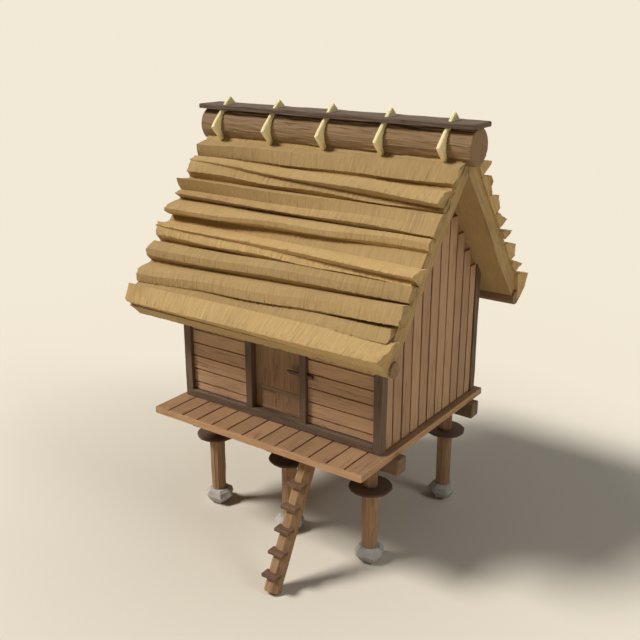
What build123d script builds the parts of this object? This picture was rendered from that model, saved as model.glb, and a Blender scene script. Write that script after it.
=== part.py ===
"""Raised granary: a boarded store on six footed posts, with a thatched gable roof and a log ladder.

The part stands on +Z, its long side runs along X, its door faces -Y, and its origin is the middle
of its bounding box at ground level. All sizes are in millimetres.
"""

import math
import os

from build123d import *

# ---- driving dimensions ---------------------------------------------------------------------
house_width = 3540  # along X, over the corner posts
house_depth = 2780  # along Y, over the corner posts

post_pitch_x = 1439
front_row_setback = 286  # from the front wall face to the axis of the front posts
rear_row_setback = 268
post_foot_diameter = 218
post_top_diameter = 236
stone_height = 245
stone_top_radius = 168
stone_girth_radius = 238
stone_base_radius = 130
stone_girth_height = 135
stone_sides = 7
stone_turn = 17  # degrees that each stone is turned from the one before it

post_length = 942
guard_diameter = 630
guard_thickness = 38
guard_chamfer = 10
head_diameter = 210  # post head above the rat guard
head_height = 255

bearer_width = 200
bearer_height = 220
bearer_overhang = 446  # past the post rows
beam_step = 80  # from the bearers' underside up to the beams' underside
beam_width = 220
beam_height = 231
beam_overhang = 496  # past the outer posts
cog_depth = 70  # of each half of the notched crossings

deck_thickness = 101
deck_side_overhang = 77
deck_front_overhang = 606
deck_rear_overhang = 120

long_sill_height = 120
long_sill_depth = 200
gable_sill_height = 83
gable_sill_recess = 60  # behind the sides of the corner posts
corner_post_width = 135
corner_post_depth = 130
wall_recess = 65  # of the planks behind the faces of the posts
plank_thickness = 60
wall_height = 1912  # from the deck to the roof's underside, at the outer faces
plate_height = 162
plate_depth = 140
gable_recess = 20
gable_thickness = 90

door_post_width = 110
door_post_depth = 110
door_opening_width = 865
door_opening_centre = -22.5
lintel_height = 140
leaf_thickness = 45
leaf_lap = 25  # of the leaf behind each door post
leaf_gap = 6
leaf_stile = 80
leaf_bottom_rail = 40
leaf_middle_rail_underside = 278
leaf_middle_rail = 80
leaf_top_rail = 80
panel_recess = 12
pivot_diameter = 36
pivot_length = 40
pivot_clearance = 1
pivot_end_gap = 5

bolt_thickness = 40
bolt_height = 50
bolt_rise = 698  # of its underside above the sill
bolt_throw = 236  # past the latch post, over the leaf
bolt_tail = 127  # past the latch post, on the other side
bolt_clearance = 2
bolt_wall_gap = 5

roof_pitch = 50.8  # degrees
thatch_thickness = 275
eaves_distance = 2900  # down the slope from the apex
verge_reach = 2150  # from the middle to the end of the thatch base
course_bite = 25  # how far a course is worked into the thatch base
course_undercut = 30
course_lap = 40  # of a course's buried head under the course above
course_crest_back = 0.42  # share of a course between its crest and its lip
course_lip_share = 0.8  # of the crest's lift that is left at the lip
front_lips = (350, 690, 940, 1150, 1410, 1780, 2110, 2400, 2600, 2885)
front_lifts = (130, 165, 215, 120, 190, 200, 165, 150, 195, 235)
rear_lips = (330, 716, 1117, 1420, 1690, 2150, 2480, 2885)
rear_lifts = (215, 190, 180, 175, 165, 195, 200, 250)
verge_extras = (35, 70, 20, 50, 5, 60, 30, 75, 15, 45)

eaves_pole_diameter = 200
eaves_pole_inset = 110  # of its axis from the lower end of the thatch
eaves_pole_rise = 40  # of its axis above the underside of the thatch
eaves_pole_reach = 2190
eaves_pole_sides = 8

ridge_log_radius = 252
ridge_log_rise = 371  # of its axis above the roof's apex
ridge_log_planing = 12  # cut off its top to seat the cap
ridge_log_reach = 2291
ridge_log_sides = 16
cap_width = 480
cap_thickness = 68
cap_reach = 2326
tie_pitch = 954
tie_count = 5
tie_reach = 430  # from the log's axis to each corner of a tie
tie_width = 60
tie_foot_depth = 279  # of the buried lower edge below the log's axis

ladder_x = 780
ladder_slope = 62.25  # degrees
ladder_foot_y = -1156.5  # of its axis at the ground, before the front wall
ladder_radius = 112.5  # to the flats
ladder_start = 20  # along its axis, from the ground to its square end
ladder_sides = 8
tread_count = 5
tread_pitch = 280
tread_width = 255
tread_thickness = 52
tread_front = 212  # from the pole's axis to the tread's front edge
tread_back = 70

# ---- dependent places -----------------------------------------------------------------------
pitch_cos = math.cos(math.radians(roof_pitch))
pitch_sin = math.sin(math.radians(roof_pitch))
slope_cos = math.cos(math.radians(ladder_slope))
slope_sin = math.sin(math.radians(ladder_slope))

front_face = -house_depth / 2
rear_face = house_depth / 2

guard_underside = stone_height + post_length
guard_top = guard_underside + guard_thickness
bearer_underside = guard_top + head_height
beam_underside = bearer_underside + beam_step
cog_level = beam_underside + cog_depth
deck_underside = beam_underside + beam_height
deck_top = deck_underside + deck_thickness
sill_top = deck_top + long_sill_height
gable_sill_top = deck_top + gable_sill_height
wall_top = deck_top + wall_height
plate_underside = wall_top - plate_height
door_head = plate_underside - lintel_height
roof_apex = wall_top + rear_face * pitch_sin / pitch_cos  # where the two undersides meet
ridge_log_height = roof_apex + ridge_log_rise
cap_underside = ridge_log_height + ridge_log_radius - ridge_log_planing


def slope_point(distance, rise, side):
    """Place (y, z) of a point down one slope from the apex and above the thatch's underside."""
    return (
        side * (distance * pitch_cos + rise * pitch_sin),
        roof_apex - distance * pitch_sin + rise * pitch_cos,
    )


def course_sections(lips, lifts):
    """Cross-section of each course of one slope, as distances down it and rises above its underside."""
    sections = []
    head = 0
    buried = thatch_thickness - course_bite
    for lip, lift in zip(lips, lifts):
        crest = lip - course_crest_back * (lip - head)
        heel = lip - course_undercut
        crest_rise = thatch_thickness + lift
        lip_rise = thatch_thickness + lift * course_lip_share
        sections.append([(head, buried), (crest, crest_rise), (lip, lip_rise), (heel, buried)])
        head = heel - course_lap
    return sections


front_courses = course_sections(front_lips, front_lifts)
rear_courses = course_sections(rear_lips, rear_lifts)
foot_reach = -front_face - ladder_foot_y - ladder_start * slope_cos + ladder_radius * slope_sin
tip_reach = max(slope_point(*corner, 1)[0] for course in rear_courses for corner in course)
house_y = (foot_reach - tip_reach) / 2  # centres the bounding box on the origin

post_xs = {"left": -post_pitch_x, "middle": 0, "right": post_pitch_x}
row_ys = {"front": front_face + front_row_setback, "rear": rear_face - rear_row_setback}
bearer_front = row_ys["front"] - bearer_overhang
bearer_rear = row_ys["rear"] + bearer_overhang
side_face = house_width / 2
post_inner_x = side_face - corner_post_width
door_left = door_opening_centre - door_opening_width / 2
door_right = door_opening_centre + door_opening_width / 2
gable_outer_x = side_face - gable_recess
gable_inner_x = gable_outer_x - gable_thickness


def underside(y):
    """Height of the roof's underside at a distance y from the middle of the house."""
    return roof_apex - abs(y) * pitch_sin / pitch_cos


def cross_plane(x):
    """Upright plane across the house at x: its local axes are the house's Y and Z."""
    return Plane(origin=(x, house_y, 0), x_dir=(0, 1, 0), z_dir=(1, 0, 0))


def roof_plane(side):
    """Plane of the roof's underside on one slope, with its normal pointing out of the roof."""
    return Plane(
        origin=(0, house_y, roof_apex), x_dir=(1, 0, 0), z_dir=(0, side * pitch_sin, pitch_cos)
    )


def timber(x_range, y_range, z_range):
    """Squared timber between three pairs of limits; y is measured from the middle of the house."""
    centre = (sum(x_range) / 2, house_y + sum(y_range) / 2, z_range[0])
    with BuildPart() as piece:
        with BuildSketch(Plane(origin=centre)):
            Rectangle(x_range[1] - x_range[0], y_range[1] - y_range[0])
        extrude(amount=z_range[1] - z_range[0])
    return piece.part


def profile_bar(x_range, points):
    """Bar along X with a cross-section given by its corners (y, z)."""
    with BuildPart() as piece:
        with BuildSketch(cross_plane(x_range[0])):
            with BuildLine():
                Polyline(*points, close=True)
            make_face()
        extrude(amount=x_range[1] - x_range[0])
    return piece.part


def polygon_bar(reach, centre, radius, sides):
    """Straight pole along X with an even polygon for its cross-section, over flats."""
    with BuildPart() as piece:
        with BuildSketch(cross_plane(-reach)):
            with Locations(centre):
                RegularPolygon(radius, sides, major_radius=False, rotation=180 / sides)
        extrude(amount=2 * reach)
    return piece.part


def save(part, name):
    """Labels one finished piece and writes it."""
    part.label = name
    export_step(part, f"parts/{name}.step")


os.makedirs("parts", exist_ok=True)

# ---- foot stones and posts --------------------------------------------------------------------
stone_levels = (
    (0, stone_base_radius),
    (stone_girth_height, stone_girth_radius),
    (stone_height, stone_top_radius),
)
places = [(row, place) for row in row_ys for place in post_xs]
for number, (row, place) in enumerate(places):
    axis = (post_xs[place], house_y + row_ys[row])

    with BuildPart() as stone:
        for level, radius in stone_levels:
            with BuildSketch(Plane(origin=(*axis, level))):
                RegularPolygon(radius, stone_sides, rotation=number * stone_turn)
        loft(ruled=True)
    save(stone.part, f"foot_stone_{row}_{place}")

    with BuildPart() as post:
        with Locations((*axis, stone_height)):
            Cone(
                post_foot_diameter / 2,
                post_top_diameter / 2,
                guard_underside - stone_height,
                align=(Align.CENTER, Align.CENTER, Align.MIN),
            )
    save(post.part, f"post_{row}_{place}")

# ---- rat guards and post heads ------------------------------------------------------------------
for row, row_y in row_ys.items():
    row_places = [(x, 0) for x in post_xs.values()]

    with BuildPart() as guards:
        with BuildSketch(Plane(origin=(0, house_y + row_y, guard_underside))):
            with Locations(*row_places):
                Circle(guard_diameter / 2)
        extrude(amount=guard_thickness)
        rims = guards.edges().filter_by(GeomType.CIRCLE)
        chamfer(rims, length=guard_chamfer)
    save(guards.part, f"rat_guards_{row}")

    with BuildPart() as heads:
        with BuildSketch(Plane(origin=(0, house_y + row_y, guard_top))):
            with Locations(*row_places):
                Circle(head_diameter / 2)
        extrude(amount=head_height)
    save(heads.part, f"post_heads_{row}")

# ---- cross bearers and floor beams, cogged over each other ----------------------------------------
beam_reach = post_pitch_x + beam_overhang
bearer_top = bearer_underside + bearer_height
beam_lines = [(y - beam_width / 2, y + beam_width / 2) for y in row_ys.values()]
bearer_lines = [(x - bearer_width / 2, x + bearer_width / 2) for x in post_xs.values()]

with BuildPart() as bearers:
    for line in bearer_lines:
        add(timber(line, (bearer_front, bearer_rear), (bearer_underside, bearer_top)))
    for line in beam_lines:
        add(timber((-beam_reach, beam_reach), line, (cog_level, deck_underside)), mode=Mode.SUBTRACT)
save(bearers.part, "cross_bearers")

with BuildPart() as beams:
    for line in beam_lines:
        add(timber((-beam_reach, beam_reach), line, (beam_underside, deck_underside)))
    add(bearers.part, mode=Mode.SUBTRACT)
save(beams.part, "floor_beams")

# ---- deck ------------------------------------------------------------------------------------------
deck_x = (-side_face - deck_side_overhang, side_face + deck_side_overhang)
deck_y = (front_face - deck_front_overhang, rear_face + deck_rear_overhang)
save(timber(deck_x, deck_y, (deck_underside, deck_top)), "deck_floor")

# ---- sills --------------------------------------------------------------------------------------------
heel_radius = leaf_thickness / 2
leaf_front = front_face + door_post_depth + leaf_gap
pivot_x = door_left - leaf_lap + heel_radius
pivot_y = leaf_front + heel_radius
socket_depth = pivot_length + pivot_end_gap
socket_radius = pivot_diameter / 2 + pivot_clearance
inner_x = (-post_inner_x, post_inner_x)

with BuildPart() as front_sill:
    add(timber(inner_x, (front_face, front_face + long_sill_depth), (deck_top, sill_top)))
    with BuildSketch(Plane(origin=(pivot_x, house_y + pivot_y, sill_top))):
        Circle(socket_radius)
    extrude(amount=-socket_depth, mode=Mode.SUBTRACT)
save(front_sill.part, "front_sill")

rear_sill = timber(inner_x, (rear_face - long_sill_depth, rear_face), (deck_top, sill_top))
save(rear_sill, "rear_sill")

gable_y = (front_face + corner_post_depth, rear_face - corner_post_depth)
with BuildPart() as gable_sills:
    for side in (-1, 1):
        x_range = sorted((side * post_inner_x, side * (side_face - gable_sill_recess)))
        add(timber(x_range, gable_y, (deck_top, gable_sill_top)))
save(gable_sills.part, "gable_sills")

# ---- corner posts -----------------------------------------------------------------------------------------
for row, side_y in (("front", -1), ("rear", 1)):
    for place, side_x in (("left", -1), ("right", 1)):
        x_range = sorted((side_x * post_inner_x, side_x * side_face))
        y_range = sorted((side_y * rear_face, side_y * (rear_face - corner_post_depth)))
        with BuildPart() as corner:
            add(timber(x_range, y_range, (deck_top, roof_apex)))
            split(bisect_by=roof_plane(side_y), keep=Keep.BOTTOM)
        save(corner.part, f"corner_post_{row}_{place}")

# ---- door posts and lintel --------------------------------------------------------------------------------
bolt_back = front_face + wall_recess - bolt_wall_gap
bolt_y = (bolt_back - bolt_thickness, bolt_back)
bolt_z = (sill_top + bolt_rise, sill_top + bolt_rise + bolt_height)
post_y = (front_face, front_face + door_post_depth)
left_post_x = (door_left - door_post_width, door_left)
right_post_x = (door_right, door_right + door_post_width)
save(timber(left_post_x, post_y, (sill_top, plate_underside)), "door_post_left")

mortise_y = (bolt_y[0] - bolt_clearance, bolt_y[1] + bolt_clearance)
mortise_z = (bolt_z[0] - bolt_clearance, bolt_z[1] + bolt_clearance)
with BuildPart() as latch_post:
    add(timber(right_post_x, post_y, (sill_top, plate_underside)))
    add(timber(right_post_x, mortise_y, mortise_z), mode=Mode.SUBTRACT)
save(latch_post.part, "door_post_right")

lintel_back = front_face + long_sill_depth
with BuildPart() as lintel:
    add(timber((door_left, door_right), (front_face, lintel_back), (door_head, plate_underside)))
    lap_x = (left_post_x[0], right_post_x[1])
    add(timber(lap_x, (post_y[1], lintel_back), (door_head, plate_underside)))
    with BuildSketch(Plane(origin=(pivot_x, house_y + pivot_y, door_head))):
        Circle(socket_radius)
    extrude(amount=socket_depth, mode=Mode.SUBTRACT)
save(lintel.part, "door_lintel")

# ---- walls ------------------------------------------------------------------------------------------------------
front_planks_y = (front_face + wall_recess, front_face + wall_recess + plank_thickness)
rear_planks_y = (rear_face - wall_recess - plank_thickness, rear_face - wall_recess)
wall_z = (sill_top, plate_underside)
save(timber((-post_inner_x, left_post_x[0]), front_planks_y, wall_z), "front_wall_left")
save(timber((right_post_x[1], post_inner_x), front_planks_y, wall_z), "front_wall_right")
save(timber(inner_x, rear_planks_y, wall_z), "rear_wall")

gable_outline = [
    (gable_y[0], gable_sill_top),
    (gable_y[1], gable_sill_top),
    (gable_y[1], underside(gable_y[1])),
    (0, roof_apex),
    (gable_y[0], underside(gable_y[0])),
]
for place, side_x in (("left", -1), ("right", 1)):
    x_range = sorted((side_x * gable_inner_x, side_x * gable_outer_x))
    save(profile_bar(x_range, gable_outline), f"gable_wall_{place}")

# ---- wall plates, bevelled to the roof -----------------------------------------------------------------------------
with BuildPart() as plates:
    for side in (-1, 1):
        outer_y = side * rear_face
        inner_y = side * (rear_face - plate_depth)
        section = [
            (outer_y, plate_underside),
            (inner_y, plate_underside),
            (inner_y, underside(inner_y)),
            (outer_y, underside(outer_y)),
        ]
        add(profile_bar(inner_x, section))
save(plates.part, "wall_plates")

# ---- ridge log and cap plank --------------------------------------------------------------------------------------------
log_axis = (0, ridge_log_height)
cap = timber(
    (-cap_reach, cap_reach), (-cap_width / 2, cap_width / 2), (cap_underside, cap_underside + cap_thickness)
)
with BuildPart() as log:
    add(polygon_bar(ridge_log_reach, log_axis, ridge_log_radius, ridge_log_sides))
    split(bisect_by=Plane.XY.offset(cap_underside), keep=Keep.BOTTOM)
save(log.part, "ridge_log")
save(cap, "ridge_cap")

# ---- eaves poles and thatch ------------------------------------------------------------------------------------------------
with BuildPart() as eaves_poles:
    for side in (-1, 1):
        pole_axis = slope_point(eaves_distance - eaves_pole_inset, eaves_pole_rise, side)
        add(polygon_bar(eaves_pole_reach, pole_axis, eaves_pole_diameter / 2, eaves_pole_sides))
save(eaves_poles.part, "eaves_poles")


def thatch_slope(side, courses):
    """One slope of thatch: an even base with a row of overlapping courses worked into it."""
    base = [
        (0, roof_apex),
        slope_point(eaves_distance, 0, side),
        slope_point(eaves_distance, thatch_thickness, side),
        (0, roof_apex + thatch_thickness / pitch_cos),
    ]
    with BuildPart() as slope:
        add(profile_bar((-verge_reach, verge_reach), base))
        for number, course in enumerate(courses):
            section = [slope_point(*corner, side) for corner in course]
            right_end = verge_reach + verge_extras[number]
            left_end = -verge_reach - verge_extras[-1 - number]
            add(profile_bar((left_end, right_end), section))
        add(log.part, mode=Mode.SUBTRACT)
        add(eaves_poles.part, mode=Mode.SUBTRACT)
    return slope.part


thatch = {
    "thatch_front": thatch_slope(-1, front_courses),
    "thatch_rear": thatch_slope(1, rear_courses),
}
for name, slope in thatch.items():
    save(slope, name)

# ---- rope ties over the ridge ---------------------------------------------------------------------------------------------------
foot_half = tie_reach - tie_foot_depth
tie_outline = [
    (-tie_reach, ridge_log_height),
    (0, ridge_log_height + tie_reach),
    (tie_reach, ridge_log_height),
    (foot_half, ridge_log_height - tie_foot_depth),
    (-foot_half, ridge_log_height - tie_foot_depth),
]
with BuildPart() as ties:
    for number in range(tie_count):
        middle = (number - (tie_count - 1) / 2) * tie_pitch
        add(profile_bar((middle - tie_width / 2, middle + tie_width / 2), tie_outline))
    for covered in (log.part, cap, *thatch.values()):
        add(covered, mode=Mode.SUBTRACT)
save(ties.part, "ridge_ties")

# ---- ladder ------------------------------------------------------------------------------------------------------------------------
axis_foot_y = front_face + ladder_foot_y
start = (ladder_x, house_y + axis_foot_y + ladder_start * slope_cos, ladder_start * slope_sin)
treads = []
for number in range(tread_count):
    level = (number + 1) * tread_pitch
    axis_y = axis_foot_y + level * slope_cos / slope_sin
    tread_x = (ladder_x - tread_width / 2, ladder_x + tread_width / 2)
    tread_z = (level - tread_thickness / 2, level + tread_thickness / 2)
    treads.append(timber(tread_x, (axis_y - tread_front, axis_y - tread_back), tread_z))

with BuildPart() as tread_set:
    for tread in treads:
        add(tread)
save(tread_set.part, "ladder_treads")

with BuildPart() as pole:
    with BuildSketch(Plane(origin=start, x_dir=(1, 0, 0), z_dir=(0, slope_cos, slope_sin))):
        RegularPolygon(ladder_radius, ladder_sides, major_radius=False, rotation=180 / ladder_sides)
    extrude(amount=deck_top / slope_sin)
    split(bisect_by=Plane.XY.offset(deck_underside), keep=Keep.BOTTOM)
    split(bisect_by=Plane.XY, keep=Keep.TOP)  # the heel is dressed flat to stand on the ground
    add(tread_set.part, mode=Mode.SUBTRACT)
save(pole.part, "ladder_pole")

# ---- door leaf ------------------------------------------------------------------------------------------------------------------------
leaf_right = door_right + leaf_lap
leaf_z = (sill_top + leaf_gap, door_head - leaf_gap)
leaf_y = (leaf_front, leaf_front + leaf_thickness)
panel_x = (door_left + leaf_stile, door_right - leaf_stile)
middle_rail_z = sill_top + leaf_middle_rail_underside
panel_levels = (
    (leaf_z[0] + leaf_bottom_rail, middle_rail_z),
    (middle_rail_z + leaf_middle_rail, leaf_z[1] - leaf_top_rail),
)
with BuildPart() as leaf:
    add(timber((pivot_x, leaf_right), leaf_y, leaf_z))
    with BuildSketch(Plane(origin=(pivot_x, house_y + pivot_y, leaf_z[0]))):
        Circle(heel_radius)
    extrude(amount=leaf_z[1] - leaf_z[0])
    for panel_z in panel_levels:
        add(timber(panel_x, (leaf_front, leaf_front + panel_recess), panel_z), mode=Mode.SUBTRACT)
    with BuildSketch(Plane(origin=(pivot_x, house_y + pivot_y, leaf_z[0]))):
        Circle(pivot_diameter / 2)
    extrude(amount=-pivot_length)
    with BuildSketch(Plane(origin=(pivot_x, house_y + pivot_y, leaf_z[1]))):
        Circle(pivot_diameter / 2)
    extrude(amount=pivot_length)
save(leaf.part, "door_leaf")

# ---- door bolt --------------------------------------------------------------------------------------------------------------------------
bolt_x = (door_right - bolt_throw, right_post_x[1] + bolt_tail)
save(timber(bolt_x, bolt_y, bolt_z), "door_bolt")

print(f"house centre y {house_y:.3f}, door pivot ({pivot_x:.2f}, {house_y + pivot_y:.3f})")
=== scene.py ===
"""Raised granary: the dressed model, built piece by piece over its fixed frame."""

import math

import bpy
import numpy as np
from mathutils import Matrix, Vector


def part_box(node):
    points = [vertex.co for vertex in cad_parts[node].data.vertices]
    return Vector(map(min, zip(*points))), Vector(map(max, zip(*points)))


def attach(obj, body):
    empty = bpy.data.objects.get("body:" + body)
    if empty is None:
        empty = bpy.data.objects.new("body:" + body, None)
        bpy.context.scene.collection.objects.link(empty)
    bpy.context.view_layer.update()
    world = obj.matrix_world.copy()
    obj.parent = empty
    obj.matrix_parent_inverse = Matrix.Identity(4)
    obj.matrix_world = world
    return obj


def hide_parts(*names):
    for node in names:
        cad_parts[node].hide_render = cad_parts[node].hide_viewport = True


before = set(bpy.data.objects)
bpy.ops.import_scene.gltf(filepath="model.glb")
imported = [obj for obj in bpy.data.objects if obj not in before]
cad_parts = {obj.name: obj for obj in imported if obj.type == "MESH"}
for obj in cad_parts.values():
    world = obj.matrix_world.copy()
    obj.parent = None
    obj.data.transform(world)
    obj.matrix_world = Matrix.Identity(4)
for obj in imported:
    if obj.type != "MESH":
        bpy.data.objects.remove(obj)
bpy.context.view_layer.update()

# ---- Foot stones ---------------------------------------------------------------------------------
# Six field stones of pale grey granite keep the posts off the wet ground. Each is a boulder, knocked to
# a rough block with a narrow flat bed and a flat top, and is laid loose on the ground.


def shade(red, green, blue):
    """Linear colour of a paint-chart colour: each channel, from 0 to 255, to the power 2.2."""
    return tuple((channel / 255) ** 2.2 for channel in (red, green, blue)) + (1.0,)


def add_node(tree, kind, inputs=(), **settings):
    """One shader node; inputs gives each socket a value, or another node's output to follow."""
    node = tree.nodes.new(kind)
    for key, value in settings.items():
        setattr(node, key, value)
    for key, value in dict(inputs).items():
        if isinstance(value, bpy.types.NodeSocket):
            tree.links.new(value, node.inputs[key])
        else:
            node.inputs[key].default_value = value
    return node


def sum_of(tree, operation, first, second):
    """Output of a Math node that joins two numbers or sockets."""
    return add_node(tree, "ShaderNodeMath", {0: first, 1: second}, operation=operation).outputs[0]


def blend_of(tree, factor, first, second, blend_type="MIX"):
    """Output of a colour mix: first where factor is 0 and second where it is 1."""
    mix = add_node(
        tree, "ShaderNodeMix", {0: factor, 6: first, 7: second}, data_type="RGBA", blend_type=blend_type
    )
    return mix.outputs[2]


def noise_of(tree, place, stretch, detail=4.0, roughness=0.55):
    """Output of a noise whose cells are 1/stretch metres long along each axis of place."""
    scaled = add_node(tree, "ShaderNodeMapping", {"Vector": place, "Scale": stretch})
    noise = add_node(
        tree,
        "ShaderNodeTexNoise",
        {"Vector": scaled.outputs[0], "Scale": 1.0, "Detail": detail, "Roughness": roughness},
    )
    return noise.outputs["Fac"]


def span_of(tree, value, low, high, to_low=0.0, to_high=1.0):
    """Output that runs from to_low to to_high while value runs from low to high, and stops there."""
    sockets = {"Value": value, "From Min": low, "From Max": high, "To Min": to_low, "To Max": to_high}
    return add_node(tree, "ShaderNodeMapRange", sockets).outputs[0]


def new_finish(name, roughness):
    """A material with its node tree and its shader, at one plain roughness."""
    material = bpy.data.materials.new(name)
    material.use_nodes = True
    shader = material.node_tree.nodes["Principled BSDF"]
    shader.inputs["Roughness"].default_value = roughness
    return material, material.node_tree, shader


def rough_up(tree, shader, height, depth):
    """Lets a height pattern, depth metres deep, turn the surface of the shader."""
    bump = add_node(tree, "ShaderNodeBump", {"Height": height, "Distance": depth, "Strength": 1.0})
    tree.links.new(bump.outputs[0], shader.inputs["Normal"])


def new_piece(name, vertices, faces, material, marks=None):
    """A mesh object at the origin from arrays of vertices, lists of faces and named vertex marks."""
    mesh = bpy.data.meshes.new(name)
    mesh.from_pydata(vertices.tolist(), [], faces)
    for mark, values in (marks or {}).items():
        kind, field = ("FLOAT", "value") if values.ndim == 1 else ("FLOAT_VECTOR", "vector")
        mesh.attributes.new(mark, kind, "POINT").data.foreach_set(field, values.astype(np.float32).ravel())
    mesh.materials.append(material)
    mesh.update()
    piece = bpy.data.objects.new(name, mesh)
    bpy.context.scene.collection.objects.link(piece)
    return piece


def closed_tube(rings):
    """Faces of a closed skin over rings, an array (ring, point, xyz), turned to point outwards.

    Neighbouring rings are joined by quads and each end by one face. The signed volume of the skin,
    the sum of every corner's triple product with its neighbours, says which way round it is.
    """
    count, points = rings.shape[:2]
    index = np.arange(count * points).reshape(count, points)
    ahead = np.roll(index, -1, axis=1)
    quads = np.stack([index[:-1], ahead[:-1], ahead[1:], index[1:]], axis=-1).reshape(-1, 4)
    flat = rings.reshape(-1, 3) - rings.mean(axis=(0, 1))
    a, b, c, d = (flat[quads[:, k]] for k in range(4))
    volume = np.einsum("ij,ij->i", a, np.cross(b, c)).sum() + np.einsum("ij,ij->i", a, np.cross(c, d)).sum()
    for ring, sign in ((index[0], -1), (index[-1], 1)):
        corner = flat[ring]
        fan = np.cross(corner[1:-1], corner[2:])
        volume += sign * np.einsum("j,ij->i", corner[0], fan).sum()
    faces = quads.tolist() + [index[0][::-1].tolist(), index[-1].tolist()]
    return faces if volume > 0 else [face[::-1] for face in faces]


stone_finish, tree, shader = new_finish("split granite", 0.85)
place = add_node(tree, "ShaderNodeTexCoord").outputs["Object"]
clouds = noise_of(tree, place, (9, 9, 9), 5.0)
grains = noise_of(tree, place, (160, 160, 160), 2.0)
pits = noise_of(tree, place, (45, 45, 45), 6.0, 0.7)
base = blend_of(tree, span_of(tree, clouds, 0.3, 0.7), shade(168, 164, 158), shade(196, 192, 186))
speckled = blend_of(tree, span_of(tree, grains, 0.6, 0.72, 0.0, 0.5), base, shade(108, 104, 97))
stained = blend_of(tree, span_of(tree, pits, 0.28, 0.42, 0.45, 0.0), speckled, shade(120, 114, 101))
tree.links.new(stained, shader.inputs["Base Color"])
rough_up(tree, shader, sum_of(tree, "ADD", pits, sum_of(tree, "MULTIPLY", grains, 0.3)), 0.006)

stone_sides = 7
stone_levels = np.array([0.0, 0.14, 0.55, 0.84, 1.0])
stone_spread = np.array([0.52, 0.68, 1.0, 0.88, 0.68])
for row in ("front", "rear"):
    for spot in ("left", "middle", "right"):
        draw = np.random.default_rng(11 + 3 * ("front", "rear").index(row) + len(spot))
        low, high = np.array(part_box(f"foot_stone_{row}_{spot}"))
        turn = 2 * np.pi * (np.arange(stone_sides) + draw.uniform(-0.22, 0.22, stone_sides)) / stone_sides
        reach = (high - low)[:2].mean() / 2 * draw.uniform(0.94, 1.05, (len(stone_levels), stone_sides))
        reach *= stone_spread[:, None]
        level = low[2] + (high - low)[2] * stone_levels[:, None] + np.zeros_like(reach)
        level[1:-1] += draw.uniform(-0.016, 0.016, level[1:-1].shape)
        middle = (low + high) / 2
        rings = np.stack(
            [middle[0] + reach * np.cos(turn), middle[1] + reach * np.sin(turn), level], axis=-1
        )
        stone = new_piece(
            f"field_stone_{row}_{spot}", rings.reshape(-1, 3), closed_tube(rings), stone_finish
        )
        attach(stone, "granary")
        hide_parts(f"foot_stone_{row}_{spot}")

# ---- Posts and post heads ------------------------------------------------------------------------
# Round pine poles, barked and dressed with a drawknife, which leaves long flats. Each stands on its
# thin end, and a short head of the same pole carries on above the rat guard to the bearers.


ring_width = 0.011


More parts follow.
